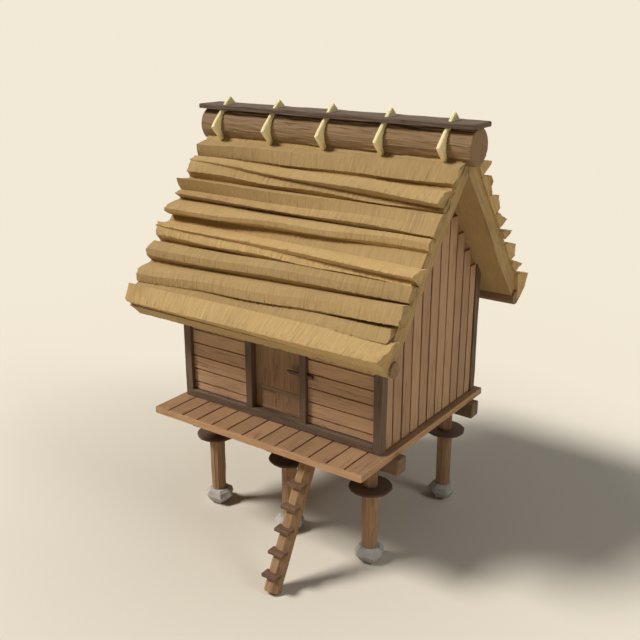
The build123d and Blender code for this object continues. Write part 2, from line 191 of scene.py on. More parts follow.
def wood(name, light, dark, ring_share=0.25, check_share=0.6, wear=0.35, roughness=0.8, painted_top_shade=1.0):
    """Wood that follows each timber's own length.

    The mark "timber" holds metres across, through and along a piece from its pith. Fibres are noise
    thirty times longer than wide, rings are waves of the distance from the pith, and drying checks
    are the thin lines where a long noise crosses its middle. "tone" tells boards apart and "edge"
    is 1 on worn corners. Faces that look up keep only the share topside of their brightness, which
    paints shade on their tops.
    """
    material, tree, shader = new_finish(name, roughness)
    spot = add_node(tree, "ShaderNodeAttribute", attribute_name="timber").outputs["Vector"]
    tone = add_node(tree, "ShaderNodeAttribute", attribute_name="tone").outputs["Fac"]
    edge = add_node(tree, "ShaderNodeAttribute", attribute_name="edge").outputs["Fac"]
    fibres = noise_of(tree, spot, (75, 75, 2.4), 6.0, 0.62)
    hairs = noise_of(tree, spot, (330, 330, 9), 2.0)
    drift = noise_of(tree, spot, (7, 7, 0.9), 2.0)
    parts = add_node(tree, "ShaderNodeSeparateXYZ", {0: spot}).outputs
    from_pith = add_node(tree, "ShaderNodeCombineXYZ", {0: parts[0], 1: parts[1], 2: 0.0}).outputs[0]
    reach = add_node(tree, "ShaderNodeVectorMath", {0: from_pith}, operation="LENGTH").outputs["Value"]
    bent = sum_of(tree, "ADD", reach, sum_of(tree, "MULTIPLY", drift, 0.05))
    waves = sum_of(tree, "SINE", sum_of(tree, "MULTIPLY", bent, 2 * math.pi / ring_width), 0.0)
    rings = span_of(tree, waves, -0.2, 1.0)
    long_noise = noise_of(tree, spot, (16, 16, 0.7), 3.0, 0.6)
    away = sum_of(tree, "ABSOLUTE", sum_of(tree, "SUBTRACT", long_noise, 0.5), 0.0)
    patches = span_of(tree, noise_of(tree, spot, (5, 5, 1.6), 2.0), 0.47, 0.56)
    checks = sum_of(tree, "MULTIPLY", span_of(tree, away, 0.004, 0.016, 1.0, 0.0), patches)
    grain = blend_of(tree, span_of(tree, fibres, 0.3, 0.72), light, dark)
    grain = blend_of(tree, sum_of(tree, "MULTIPLY", rings, ring_share), grain, dark)
    grain = blend_of(tree, span_of(tree, hairs, 0.56, 0.75, 0.0, 0.22), grain, dark)
    deep = tuple(channel * 0.28 for channel in dark[:3]) + (1.0,)
    split = blend_of(tree, sum_of(tree, "MULTIPLY", checks, check_share), grain, deep)
    pale = tuple(min(1.0, channel * 1.35) for channel in light[:3]) + (1.0,)
    rubbed = sum_of(tree, "MULTIPLY", edge, span_of(tree, drift, 0.35, 0.65, 0.3 * wear, wear))
    worn = blend_of(tree, rubbed, split, pale)
    level = span_of(tree, tone, -1.0, 1.0, 0.86, 1.14)
    # Painted shade: faces that look up are darkened to the share given for tops.
    facing = add_node(tree, "ShaderNodeNewGeometry").outputs["True Normal"]
    upward = add_node(tree, "ShaderNodeSeparateXYZ", {0: facing}).outputs[2]
    level = sum_of(tree, "MULTIPLY", level, span_of(tree, upward, 0.7, 0.95, 1.0, painted_top_shade))
    toned = add_node(tree, "ShaderNodeHueSaturation", {"Value": level, "Color": worn})
    tree.links.new(toned.outputs[0], shader.inputs["Base Color"])
    opened = sum_of(tree, "MULTIPLY", checks, 2.5)
    ridges = sum_of(tree, "ADD", fibres, sum_of(tree, "MULTIPLY", rings, 0.5))
    relief = sum_of(tree, "SUBTRACT", ridges, opened)
    rough_up(tree, shader, relief, 0.0022)
    return material


def dressed(outline, chamfer):
    """Outline with each corner cut off, and how near each point is to an edge, 1 on it and 0 inside.

    Each side runs between its two corners as four points: at the cuts, and 12 mm inside of them.
    """
    corners = np.asarray(outline, float)
    ahead = np.roll(corners, -1, axis=0) - corners
    span = np.linalg.norm(ahead, axis=1, keepdims=True)
    cut = np.minimum(chamfer, 0.3 * span)
    inner = np.minimum(cut + 0.012, 0.45 * span)
    stops = np.stack([cut, inner, span - inner, span - cut], axis=1)
    points = corners[:, None] + ahead[:, None] * (stops / span[:, None])
    return points.reshape(-1, 2), np.tile([1.0, 0.0, 0.0, 1.0], len(corners))


def timber(outline, origin, u_axis, v_axis, length, draw, chamfer=0.006, relief=0.0015,
           spacing=0.35, pith=None, taper=1.0, start_cut=(0.0, 0.0), end_cut=(0.0, 0.0), tone=None):
    """One timber: a dressed outline carried straight along the cross product of its two axes.

    Stations stand about spacing apart, the first and last pulled in by the chamfer. Each point moves
    out or in by a random relief, which leaves long hand-cut flats. The ends can be cut on a slant, by
    so much length for each metre across, and the outline can taper to a share of itself.
    """
    ring, edge = dressed(outline, chamfer)
    u_axis, v_axis = np.asarray(u_axis, float), np.asarray(v_axis, float)
    along = np.cross(u_axis, v_axis)
    steps = max(2, int(round(length / spacing)) + 1)
    inner = np.linspace(chamfer + 0.012, length - chamfer - 0.012, steps)
    stations = np.concatenate([[0.0, chamfer], inner, [length - chamfer, length]])
    middle = (ring.max(axis=0) + ring.min(axis=0)) / 2
    half = (ring.max(axis=0) - ring.min(axis=0)) / 2
    rings = np.repeat(ring[None], len(stations), axis=0)
    pull = 1 - chamfer / half
    for end in (0, -1):
        rings[end] = middle + (ring - middle) * pull
    side = np.sign(ring - middle) * (np.abs(ring - middle) > 0.6 * half)
    shift = draw.normal(0, relief, (len(stations), len(ring), 1)) * side
    shift[[0, 1, -2, -1]] *= 0.5
    share = (stations / length)[:, None]
    rings = middle + (rings + shift - middle) * (1 + (taper - 1) * share[..., None])
    slant = (1 - share) * (rings @ np.array(start_cut)) + share * (rings @ np.array(end_cut))
    travel = stations[:, None] + slant
    shape = (
        np.asarray(origin, float)
        + rings[..., :1] * u_axis
        + rings[..., 1:] * v_axis
        + travel[..., None] * along
    )
    if pith is None:
        pith = middle + draw.uniform(-1, 1, 2) * half + np.array([0.0, draw.choice([-1, 1]) * 0.12])
    local = np.concatenate([rings - pith, travel[..., None] + draw.uniform(0, 40)], axis=-1)
    worn = np.repeat(edge[None], len(stations), axis=0)
    worn[[0, 1, -2, -1]] = 1.0
    tones = np.full(worn.shape, draw.uniform(-1, 1) if tone is None else tone)
    return {"rings": shape, "timber": local, "edge": worn, "tone": tones}


def joined(name, timbers, material):
    """One piece of several timbers, each a closed skin of its own."""
    vertices, faces, marks, first = [], [], {"timber": [], "edge": [], "tone": []}, 0
    for part in timbers:
        faces += [[first + corner for corner in face] for face in closed_tube(part["rings"])]
        vertices.append(part["rings"].reshape(-1, 3))
        first += len(vertices[-1])
        marks["timber"].append(part["timber"].reshape(-1, 3))
        marks["edge"].append(part["edge"].ravel())
        marks["tone"].append(part["tone"].ravel())
    marks = {mark: np.concatenate(values) for mark, values in marks.items()}
    return new_piece(name, np.concatenate(vertices), faces, material, marks)


def regular(sides, flats, turn=0.5):
    """Outline of an even polygon, flats across from the middle to each side."""
    angle = 2 * np.pi * (np.arange(sides) + turn) / sides
    corner = flats / math.cos(math.pi / sides)
    return np.stack([corner * np.cos(angle), corner * np.sin(angle)], axis=-1)


X_AXIS, Y_AXIS, Z_AXIS = np.eye(3)
pole_wood = wood("barked pine pole", shade(180, 141, 107), shade(146, 111, 80), 0.18, 0.4, 0.15)
pole_sides = 12
foot_thickness, head_thickness = 0.218, 0.236
pole_swell = head_thickness / foot_thickness
for row in ("front", "rear"):
    for spot in ("left", "middle", "right"):
        draw = np.random.default_rng(31 + 3 * ("front", "rear").index(row) + len(spot))
        low, high = np.array(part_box(f"post_{row}_{spot}"))
        pole = timber(
            regular(pole_sides, (high - low)[0] / 2 * 0.985 / pole_swell, draw.uniform()),
            ((low + high)[0] / 2, (low + high)[1] / 2, low[2]),
            X_AXIS, Y_AXIS, (high - low)[2], draw,
            chamfer=0.004, relief=0.0018, spacing=0.2, pith=(0, 0), taper=pole_swell,
        )
        post = joined(f"barked_post_{row}_{spot}", [pole], pole_wood)
        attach(post, "granary")
        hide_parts(f"post_{row}_{spot}")

    low, high = np.array(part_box(f"post_heads_{row}"))
    head_radius = (high - low)[1] / 2
    heads = []
    for middle_x in (low[0] + head_radius, (low + high)[0] / 2, high[0] - head_radius):
        draw = np.random.default_rng(41 + len(heads))
        heads.append(
            timber(
                regular(pole_sides, head_radius * 0.98, draw.uniform()),
                (middle_x, (low + high)[1] / 2, low[2]),
                X_AXIS, Y_AXIS, (high - low)[2], draw,
                chamfer=0.004, relief=0.0015, pith=(0, 0), spacing=0.12,
            )
        )
    head_row = joined(f"barked_heads_{row}", heads, pole_wood)
    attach(head_row, "granary")
    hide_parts(f"post_heads_{row}")

# ---- Rat guards ----------------------------------------------------------------------------------
# Broad discs of dark oak, split from a wide log and chopped round, that keep rats from climbing in.
# Each lies flat between its post and the head above, and its rim is bevelled above and below.

guard_wood = wood("dark oak disc", shade(92, 69, 51), shade(68, 49, 37), 0.3, 0.7, 0.3, 0.75)
guard_sides = 18
for row in ("front", "rear"):
    low, high = np.array(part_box(f"rat_guards_{row}"))
    radius = (high - low)[1] / 2
    thickness = (high - low)[2]
    bevel = 0.010
    steps = np.array([0.0, bevel, thickness / 2, thickness - bevel, thickness])
    pulls = np.array([bevel, 0.0, 0.0, 0.0, bevel])
    rim_wear = np.array([0.6, 0.6, 0.12, 0.6, 0.6])
    discs = []
    for middle_x in (low[0] + radius, (low + high)[0] / 2, high[0] - radius):
        draw = np.random.default_rng(51 + len(discs) + 5 * len(row))
        angle = 2 * np.pi * (np.arange(guard_sides) + draw.uniform(-0.12, 0.12, guard_sides)) / guard_sides
        reach = radius * draw.uniform(0.965, 1.0, guard_sides) - pulls[:, None]
        across = np.stack([reach * np.cos(angle), reach * np.sin(angle)], axis=-1)
        height = np.repeat(steps[:, None], guard_sides, axis=1)
        rings = np.concatenate([across, height[..., None]], axis=-1)
        seat = np.array([middle_x, (low + high)[1] / 2, low[2]])
        grain = np.stack(
            [rings[..., 1] + 0.2, rings[..., 2] + 0.1, rings[..., 0] + draw.uniform(0, 40)], axis=-1
        )
        rim = np.repeat(rim_wear[:, None], guard_sides, axis=1)
        tones = np.full(rim.shape, draw.uniform(-0.6, 0.6))
        discs.append({"rings": rings + seat, "timber": grain, "edge": rim, "tone": tones})
    guards = joined(f"oak_discs_{row}", discs, guard_wood)
    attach(guards, "granary")
    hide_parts(f"rat_guards_{row}")

# ---- Floor frame ---------------------------------------------------------------------------------
# Squared dark timbers, hewn with a broad axe. Three bearers run from front to rear over the post heads,
# and two longer beams lie across them, cogged halfway into each other and left long at the corners.


def square(low, high, axis, draw, **cut):
    """A squared timber that fills the box from low to high, its length along the axis with that number.

    The outline spans the two other axes, in the order that makes their cross product the length.
    """
    low, high = np.array(low, float), np.array(high, float)
    u, v = (axis + 1) % 3, (axis + 2) % 3
    size = high - low
    outline = [(0, 0), (size[u], 0), (size[u], size[v]), (0, size[v])]
    axes = np.eye(3)
    return timber(outline, low, axes[u], axes[v], size[axis], draw, **cut)


hewn_wood = wood("axe-hewn dark timber", shade(122, 99, 74), shade(92, 72, 52), 0.2, 0.6, 0.35)
low, high = np.array(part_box("cross_bearers"))
bearer_width = 0.2
beam_width = 0.22
head_middles = [(low + high)[0] / 2 + side * ((high - low)[0] - bearer_width) / 2 for side in (-1, 0, 1)]
draw = np.random.default_rng(61)
bearers = [
    square((x - bearer_width / 2, low[1], low[2]), (x + bearer_width / 2, high[1], high[2]), 1, draw,
           chamfer=0.01, relief=0.003)
    for x in head_middles
]
bearer_frame = joined("hewn_bearers", bearers, hewn_wood)
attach(bearer_frame, "granary")
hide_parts("cross_bearers")

low, high = np.array(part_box("floor_beams"))
beams = [
    square((low[0], y, low[2]), (high[0], y + beam_width, high[2]), 0, draw, chamfer=0.01, relief=0.003)
    for y in (low[1], high[1] - beam_width)
]
beam_frame = joined("hewn_beams", beams, hewn_wood)
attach(beam_frame, "granary")
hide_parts("floor_beams")

# ---- Deck ----------------------------------------------------------------------------------------
# Thick sawn boards laid from front to rear, rebated where they meet so that grain can't fall through.
# A nosing strip closes their front ends, rain and feet have worn the porch paler, and chaff and dirt
# have packed into the joints. The tops of the boards are painted darker than their sides, a painted shade.

# The share 0.61 paints shade on the boards' tops.
deck_wood = wood(
    "worn deck boards with painted top shade", shade(208, 162, 119), shade(173, 130, 91), 0.18, 0.35, 0.4, painted_top_shade=0.61
)
low, high = np.array(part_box("deck_floor"))
nosing = 0.025
gap = 0.030
rebate = 0.034
left_board, right_board = 0.254, 0.287
joint_count = 12
seams = np.linspace(low[0] + left_board, high[0] - right_board, joint_count)
edges = np.concatenate([[low[0] - gap / 2], seams, [high[0] + gap / 2]])
draw = np.random.default_rng(71)
boards = [
    square(low, (high[0], low[1] + nosing, high[2]), 0, draw, chamfer=0.004, relief=0.0008, spacing=0.6)
]
for left, right in zip(edges[:-1], edges[1:]):
    foot = (max(left, low[0]), min(right, high[0]))
    face = (max(left + gap / 2, low[0]), min(right - gap / 2, high[0]))
    top = high[2] - low[2] - draw.uniform(0, 0.003)
    shoulder = high[2] - low[2] - rebate
    outline = [
        (foot[0], 0), (foot[1], 0), (foot[1], shoulder), (face[1], shoulder + 0.001),
        (face[1], top), (face[0], top), (face[0], shoulder + 0.001), (foot[0], shoulder),
    ]
    boards.append(
        timber(outline, (0, high[1], low[2]), X_AXIS, Z_AXIS, high[1] - low[1] - nosing, draw,
               chamfer=0.003, relief=0.0, spacing=0.7, pith=(left + draw.uniform(0, 0.3), -0.1))
    )
deck = joined("deck_boards", boards, deck_wood)
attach(deck, "granary")
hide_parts("deck_floor")

packed = wood("chaff and dirt", shade(88, 44, 22), shade(68, 34, 17), 0.2, 0.5, 0.0, 0.95)
bite = 0.002
sunk = 0.008
strips = [
    square((seam - gap / 2 - bite, low[1] + nosing, high[2] - rebate - 2 * bite),
           (seam + gap / 2 + bite, high[1], high[2] - sunk), 1, draw,
           chamfer=0.001, relief=0.0, spacing=0.7)
    for seam in seams
]
packing = joined("deck_joint_packing", strips, packed)
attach(packing, "granary")

# ---- Sills, corner posts and door frame ----------------------------------------------------------
# The wall frame is oak gone dark with smoke and rain: sills on the deck, a stout post at each corner,
# and two door posts under a lintel. All are joined by pegged mortise and tenon.

frame_wood = wood("smoke-dark oak frame", shade(114, 93, 74), shade(87, 70, 55), 0.18, 0.5, 0.3)
for name, axis in (("front_sill", 0), ("rear_sill", 0), ("door_post_left", 2)):
    draw = np.random.default_rng(80 + len(name))
    low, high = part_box(name)
    stick = joined(f"oak_{name}", [square(low, high, axis, draw, chamfer=0.008, relief=0.002)], frame_wood)
    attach(stick, "granary")
    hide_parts(name)

low, high = np.array(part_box("gable_sills"))
sill_depth = 0.075
draw = np.random.default_rng(91)
gable_sills = [
    square((x, low[1], low[2]), (x + sill_depth, high[1], high[2]), 1, draw, chamfer=0.008, relief=0.002)
    for x in (low[0], high[0] - sill_depth)
]
gable_foot = joined("oak_gable_sills", gable_sills, frame_wood)
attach(gable_foot, "granary")
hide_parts("gable_sills")

roof_pitch = math.radians(50.8)
roof_slope = math.tan(roof_pitch)
gable_low, gable_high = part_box("gable_wall_left")
middle_y = float(gable_low[1] + gable_high[1]) / 2
apex_z = float(gable_high[2])
for row, side_y in (("front", -1), ("rear", 1)):
    for spot, side_x in (("left", -1), ("right", 1)):
        name = f"corner_post_{row}_{spot}"
        draw = np.random.default_rng(95 + 2 * side_y + side_x)
        low, high = np.array(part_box(name))
        width, depth = (high - low)[:2]
        outline = [(0, 0), (width, 0), (width, depth), (0, depth)]
        height = apex_z - roof_slope * abs(low[1] - middle_y) - low[2]
        post = timber(
            outline, low, X_AXIS, Y_AXIS, height, draw,
            chamfer=0.006, relief=0.002, end_cut=(0.0, -side_y * roof_slope),
        )
        corner_post = joined(f"oak_{name}", [post], frame_wood)
        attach(corner_post, "granary")
        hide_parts(name)

# The latch post is mortised through for the bolt, so it is made of the wood above, below, before and
# behind the mortise.
low, high = np.array(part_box("door_post_right"))
bolt_low, bolt_high = np.array(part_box("door_bolt"))
slack = 0.002
mortise = np.array([bolt_low - slack, bolt_high + slack])
draw = np.random.default_rng(101)
whole = {"chamfer": 0.002, "relief": 0.0015, "tone": 0.1}
cheek = {"chamfer": 0.001, "relief": 0.0, "tone": 0.1}
latch = [
    square(low, (high[0], high[1], mortise[0][2]), 2, draw, **whole),
    square((low[0], low[1], mortise[1][2]), high, 2, draw, **whole),
    square((low[0], low[1], mortise[0][2]), (high[0], mortise[0][1], mortise[1][2]), 2, draw, **cheek),
    square((low[0], mortise[1][1], mortise[0][2]), (high[0], high[1], mortise[1][2]), 2, draw, **cheek),
]
latch_post = joined("oak_latch_post", latch, frame_wood)
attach(latch_post, "granary")
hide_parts("door_post_right")

low, high = np.array(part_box("door_lintel"))
hinge_post_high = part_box("door_post_left")[1]
latch_post_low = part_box("door_post_right")[0]
draw = np.random.default_rng(103)
cuts = {"chamfer": 0.006, "relief": 0.0015, "tone": 0.0}
lintel_parts = [
    square((hinge_post_high[0], low[1], low[2]), (latch_post_low[0], hinge_post_high[1], high[2]), 0, draw,
           **cuts),
    square((low[0], hinge_post_high[1], low[2]), high, 0, draw, **cuts),
]
lintel = joined("oak_lintel", lintel_parts, frame_wood)
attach(lintel, "granary")
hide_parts("door_lintel")

# ---- Plank walls ---------------------------------------------------------------------------------
# Broad split planks lie level between the posts, each let into grooves in them and dropped on the one
# below. The lowest is ripped narrow, and a rebate leaves a shadow gap along the outside of each joint.

plank_wood = wood("weathered wall planks", shade(209, 169, 130), shade(179, 139, 103), 0.16, 0.3, 0.25)
plank_pitch = 0.214
first_seam = 0.121
shadow_gap = 0.024
rebate_depth = 0.030
least_plank = 0.03
for name in ("front_wall_left", "front_wall_right", "rear_wall"):
    draw = np.random.default_rng(110 + len(name))
    low, high = np.array(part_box(name))
    outward = -1 if name.startswith("front") else 1
    seams = np.arange(low[2] + first_seam, high[2] - least_plank, plank_pitch)
    levels = np.concatenate([[low[2]], seams, [high[2]]])
    planks = []
    depth = (high - low)[1]
    for bottom, top in zip(levels[:-1], levels[1:]):
        lean = draw.uniform(0.001, 0.005)
        tall = top - bottom
        eased = min(shadow_gap / 2, tall / 4)
        profile = np.array([
            (-lean, eased), (rebate_depth, eased), (rebate_depth, 0), (depth, 0),
            (depth, tall), (rebate_depth, tall), (rebate_depth, tall - eased), (lean, tall - eased),
        ])
        if outward > 0:
            profile = profile[::-1] * (-1, 1) + (depth, 0)
        planks.append(
            timber(profile, (low[0], low[1], bottom), Y_AXIS, Z_AXIS, (high - low)[0], draw,
                   chamfer=0.002, relief=0.0008, spacing=0.5)
        )
    wall = joined(f"planks_{name}", planks, plank_wood)
    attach(wall, "granary")
    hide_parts(name)

# ---- Gable walls ---------------------------------------------------------------------------------
# Upright sawn boards are nailed over a boarded backing and hang down over the sill, and dark moss
# caulks the joints between them. Each is cut off square below the roof, so their heads climb in steps.

board_wood = wood("gable boards", shade(196, 156, 120), shade(166, 129, 96), 0.16, 0.3, 0.25)
backing_wood = wood("gable backing", shade(158, 122, 92), shade(130, 98, 72), 0.2, 0.5, 0.2)
moss = wood("moss caulking", shade(80, 40, 20), shade(62, 31, 16), 0.2, 0.5, 0.0, 0.95)
board_pitch = 0.238
board_depth = 0.03
gap = 0.037
middle_head = 5.389
head_step = 0.2863
foot_drop = 0.058
boards_aside = 5
roof_bite = 0.04
for spot, side in (("left", -1), ("right", 1)):
    name = f"gable_wall_{spot}"
    draw = np.random.default_rng(121 + side)
    low, high = np.array(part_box(name))
    half = (high - low)[1] / 2
    eave_z = high[2] - roof_slope * half
    back_x = (low[0] + board_depth, high[0]) if side < 0 else (low[0], high[0] - board_depth)
    outline = [(-half, low[2]), (half, low[2]), (half, eave_z), (0, high[2]), (-half, eave_z)]
    backing = timber(
        outline, (back_x[0], middle_y, 0), Y_AXIS, Z_AXIS, back_x[1] - back_x[0], draw,
        chamfer=0.002, relief=0.0, spacing=0.1, tone=0.0,
    )
    grain = backing["rings"]
    backing["timber"] = np.stack([grain[..., 0], grain[..., 1] + 0.1, grain[..., 2]], axis=-1)
    backing_piece = joined(f"backing_{spot}", [backing], backing_wood)
    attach(backing_piece, "granary")
    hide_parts(name)

    face_x = (low[0], low[0] + board_depth) if side < 0 else (high[0] - board_depth, high[0])
    back = face_x[1] if side < 0 else face_x[0]
    caulk_x = sorted((back - side * 0.006, back + side * 0.020))
    boards, heads, caulks = [], [], []
    for number in range(-boards_aside, boards_aside + 1):
        reach = np.clip([(number - 0.5) * board_pitch, (number + 0.5) * board_pitch], -half, half)
        under_roof = apex_z - roof_slope * np.abs(reach).max() + roof_bite
        head = min(middle_head - head_step * abs(number), under_roof) + draw.uniform(-0.006, 0.006)
        proud = draw.uniform(0, 0.003)
        heads.append(head)
        boards.append(
            square((face_x[0] - proud * (side < 0), middle_y + reach[0] + gap / 2, low[2] - foot_drop),
                   (face_x[1] + proud * (side > 0), middle_y + reach[1] - gap / 2, head), 2, draw,
                   chamfer=0.004, relief=0.0008, spacing=0.6)
        )
    for number, (first_head, next_head) in enumerate(zip(heads[:-1], heads[1:])):
        joint = middle_y + (number + 0.5 - boards_aside) * board_pitch
        caulks.append(
            square((caulk_x[0], joint - gap / 2 - bite, low[2]),
                   (caulk_x[1], joint + gap / 2 + bite, min(first_head, next_head) - 2 * bite), 2, draw,
                   chamfer=0.001, relief=0.0, spacing=0.6)
        )
    for label, parts, finish in (("boards", boards, board_wood), ("caulking", caulks, moss)):
        cladding = joined(f"gable_{label}_{spot}", parts, finish)
        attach(cladding, "granary")

# ---- Wall plates ---------------------------------------------------------------------------------
# A squared plate lies on each long wall between the corner posts and carries the foot of the roof. Its
# top is bevelled to the roof's slope.

low, high = np.array(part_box("wall_plates"))
plate_depth = 0.14
draw = np.random.default_rng(131)
plates = []
for side in (-1, 1):
    outer = side * (high - low)[1] / 2
    inner = outer - side * plate_depth
    outline = [(outer, low[2]), (inner, low[2]),
               (inner, apex_z - roof_slope * abs(inner)), (outer, apex_z - roof_slope * abs(outer))]
    plates.append(
        timber(outline, (low[0], middle_y, 0), Y_AXIS, Z_AXIS, (high - low)[0], draw, chamfer=0.006)
    )
plate_pair = joined("hewn_plates", plates, hewn_wood)
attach(plate_pair, "granary")
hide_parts("wall_plates")

# ---- Eaves poles ---------------------------------------------------------------------------------
# A round pole, dark with age, is lashed under the lower end of each slope and keeps the thatch's edge
# in line. Its ends show at the verges.

low, high = np.array(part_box("eaves_poles"))
pole_flats = (high - low)[2] / 2
old_wood = wood("age-dark pole", shade(157, 127, 92), shade(117, 91, 63), 0.25, 0.6, 0.2)
draw = np.random.default_rng(141)
eaves = [
    timber(regular(8, pole_flats), (low[0], y, (low + high)[2] / 2), Y_AXIS, Z_AXIS, (high - low)[0], draw,
           chamfer=0.006, relief=0.0025, pith=(0, 0), spacing=0.3)
    for y in (low[1] + pole_flats, high[1] - pole_flats)
]
eaves_pair = joined("lashed_eaves_poles", eaves, old_wood)
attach(eaves_pair, "granary")
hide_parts("eaves_poles")

# ---- Thatch --------------------------------------------------------------------------------------
# Rye straw is laid in bundles, root ends down, on each slope. Every course laps the one below and is
# dressed to a thick lip, and the courses wander and cross, because each was laid by eye from one end.


def straw(name, light, dark, stain=0.4, roughness=0.9):
    """Straw that runs down the slope.

    The mark "straw" holds metres along the eaves, down the slope and through the thatch. Stalks are
    noise some 6 mm wide and 30 cm long, and "cut" shows their open ends, as small dark cells. Stain
    is how much the rain has greyed it in patches.
    """
    material, tree, shader = new_finish(name, roughness)
    spot = add_node(tree, "ShaderNodeAttribute", attribute_name="straw").outputs["Vector"]
    cut = add_node(tree, "ShaderNodeAttribute", attribute_name="cut").outputs["Fac"]
    tone = add_node(tree, "ShaderNodeAttribute", attribute_name="tone").outputs["Fac"]
    stalks = noise_of(tree, spot, (165, 3.2, 22), 4.0, 0.6)
    bundles = noise_of(tree, spot, (22, 1.4, 6), 3.0)
    weather = noise_of(tree, spot, (1.5, 1.1, 1.5), 4.0, 0.6)
    base = blend_of(tree, span_of(tree, stalks, 0.32, 0.68), dark, light)
    base = blend_of(tree, span_of(tree, bundles, 0.35, 0.7, 0.0, 0.8 * stain), base, dark)
    grey = tuple(channel * 0.78 for channel in dark[:3]) + (1.0,)
    base = blend_of(tree, span_of(tree, weather, 0.5, 0.75, 0.0, stain), base, grey)
    cells = add_node(tree, "ShaderNodeMapping", {"Vector": spot, "Scale": (130, 130, 130)})
    ends = add_node(tree, "ShaderNodeTexVoronoi", {"Vector": cells.outputs[0], "Scale": 1.0})
    hollow = span_of(tree, ends.outputs["Distance"], 0.12, 0.5, 0.25, 0.0)
    base = blend_of(tree, sum_of(tree, "MULTIPLY", hollow, cut), base, grey)
    toned = add_node(
        tree, "ShaderNodeHueSaturation", {"Value": span_of(tree, tone, -1.0, 1.0, 0.8, 1.2), "Color": base}
    )
    tree.links.new(toned.outputs[0], shader.inputs["Base Color"])
    relief = sum_of(tree, "ADD", stalks, sum_of(tree, "MULTIPLY", bundles, 1.2))
    rough_up(tree, shader, relief, 0.004)
    return material


straw_finish = straw("rye straw", shade(202, 170, 115), shade(170, 138, 90))
slope_cos = math.cos(roof_pitch)
slope_sin = math.sin(roof_pitch)


def on_slope(along, down, rise, side):
    """Places on one slope: along the eaves, down from the apex and up from the roof's underside."""
    return np.stack(
        [
            along,
            middle_y + side * (down * slope_cos + rise * slope_sin),
            apex_z - down * slope_sin + rise * slope_cos,
        ],
        axis=-1,
    )


def thatch_course(left, right, x_left, x_right, side, draw, tone, wander=0.012):
    """One course: its outline, millimetres down the slope and up from the roof, changes from left to right.

    It goes from the head under the course above over the crest to the lip and the buried heel, and
    each side is parted into three. Every 20 mm along the eaves the stalks stand some 2 mm proud or
    shy and end up to 4 mm long or short, and the whole outline wanders on two slow waves. The two
    ends are ragged, because no two stalks end together. The lines of the crest and the lip, along
    the eaves, down the slope and up from the roof, come back with it for the loose stalks.
    """
    left, right = np.array(left, float) / 1000, np.array(right, float) / 1000
    count = int(round((x_right - x_left) / 0.020)) + 1
    parts = np.array([0, 1 / 3, 2 / 3])[:, None]
    fine = [
        (ends[:, None] + (np.roll(ends, -1, axis=0) - ends)[:, None] * parts).reshape(-1, 2)
        for ends in (left, right)
    ]
    share = np.linspace(0, 1, count)[:, None, None]
    outline = fine[0] * (1 - share) + fine[1] * share
    corners = len(left)
    raised = np.zeros(3 * corners)
    raised[3:3 * corners - 5] = 1.0
    at_lip = np.zeros(3 * corners)
    at_lip[3 * (corners - 2):3 * (corners - 1) + 1] = 1.0
    wave = 2 * np.pi * (share * draw.uniform(1.2, 2.6, 2) + draw.uniform(0, 1, 2))
    outline = outline + wander * np.sin(wave) * raised[:, None] * np.array([1.0, 0.5])
    outline[..., 1] += 0.0016 * draw.normal(0, 1, (count, 1)) * raised
    outline[..., 0] += 0.004 * draw.uniform(-1, 1, (count, 1)) * at_lip
    along = np.linspace(x_left, x_right, count)[:, None] + np.zeros((1, 3 * corners))
    along[0] += draw.uniform(-0.018, 0.018, 3 * corners)
    along[-1] += draw.uniform(-0.018, 0.018, 3 * corners)
    rings = on_slope(along, outline[..., 0], outline[..., 1], side)
    straw_mark = np.stack([along, outline[..., 0] + draw.uniform(0, 9), outline[..., 1]], axis=-1)
    cut = np.repeat(at_lip[None], count, axis=0)
    cut[[0, -1]] = 1.0
    crest, lip = (
        np.column_stack([along[:, 3 * corner], outline[:, 3 * corner]]) for corner in (2, corners - 2)
    )
    return {"rings": rings, "straw": straw_mark, "cut": cut, "tone": np.full(cut.shape, tone),
            "crest": crest, "lip": lip}


def laid(name, courses, material):
    """One piece of several courses, each a closed skin of its own."""
    vertices, faces, first = [], [], 0
    for course in courses:
        faces += [[first + corner for corner in face] for face in closed_tube(course["rings"])]
        vertices.append(course["rings"].reshape(-1, 3))
        first += len(vertices[-1])
    marks = {
        mark: np.concatenate([course[mark].reshape(-1, *course[mark].shape[2:]) for course in courses])
        for mark in ("straw", "cut", "tone")
    }
    return new_piece(name, np.concatenate(vertices), faces, material, marks)


